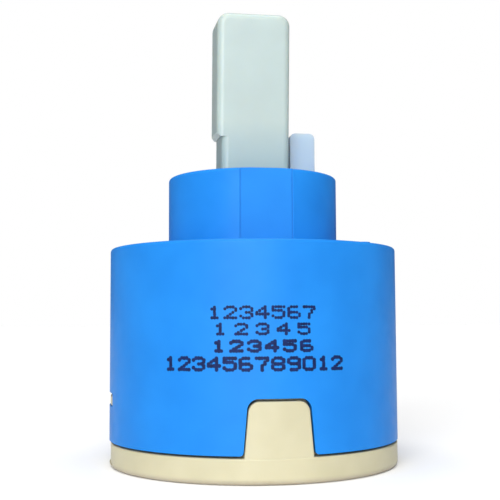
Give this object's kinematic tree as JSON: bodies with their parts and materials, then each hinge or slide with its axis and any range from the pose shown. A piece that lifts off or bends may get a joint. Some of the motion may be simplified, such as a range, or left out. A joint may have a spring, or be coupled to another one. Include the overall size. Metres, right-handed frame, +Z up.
{
  "type": "single lever mixing cartridge",
  "caption": "Round ceramic-disc mixing cartridge for a single-lever tap, with a blue housing, cream base and an upright tilting lever.",
  "frame": {"origin": "centre of the base's flat underside", "axes": "+Z up the body's axis to the lever, -Y to the front tongue and collar flat, +X to the right as seen from the front"},
  "size_m": [0.04, 0.04, 0.0627],
  "materials": {
    "housing_plastic": "moulded acetal, bright blue, satin gloss",
    "base_plastic": "moulded acetal, cream",
    "fixed_ceramic": "lapped alumina",
    "moving_ceramic": "lapped alumina",
    "screen_plastic": "moulded acetal, white",
    "drive_plate_plastic": "moulded acetal, natural white",
    "rubber": "moulded EPDM, black",
    "rotor_plastic": "moulded acetal, white",
    "friction_plastic": "slippery fluoropolymer washer, white",
    "stop_plastic": "moulded, milky bluish white",
    "lever_plastic": "moulded, milky and slightly see-through",
    "pin_steel": "ground stainless steel"
  },
  "bodies": {
    "body": {"housing": "housing_plastic", "base": "base_plastic", "fixed_disc": "fixed_ceramic", "friction_ring": "friction_plastic", "hot_seal": "rubber", "cold_seal": "rubber", "outlet_seal": "rubber", "hot_gasket": "rubber", "cold_gasket": "rubber", "outlet_gasket": "rubber"},
    "rotor": {"rotor": "rotor_plastic", "rotor_o_ring": "rubber", "hot_limit_stop": "stop_plastic", "lever_pin": "pin_steel"},
    "lever": {"lever": "lever_plastic"},
    "disc_carriage": {"drive_plate": "drive_plate_plastic", "drive_plate_seal": "rubber", "silencer_screen": "screen_plastic", "moving_disc": "moving_ceramic"}
  },
  "joints": [
    {"name": "temperature_turn", "type": "hinge", "parent": "body", "child": "rotor", "pos_m": [0, 0, 0.031], "axis": [0, 0, 1], "range_deg": [-50, 50]},
    {"name": "flow_tilt", "type": "hinge", "parent": "rotor", "child": "lever", "pos_m": [0, 0, 0.031], "axis": [1, 0, 0], "range_deg": [-16.7, 8.3]},
    {"name": "disc_slide", "type": "slide", "parent": "rotor", "child": "disc_carriage", "axis": [0, 1, 0], "range_m": [-0.00334, 0.00167]}
  ],
  "couplings": [
    {"joint": "disc_slide", "follows": "flow_tilt", "m_per_rad": 0.0114}
  ]
}
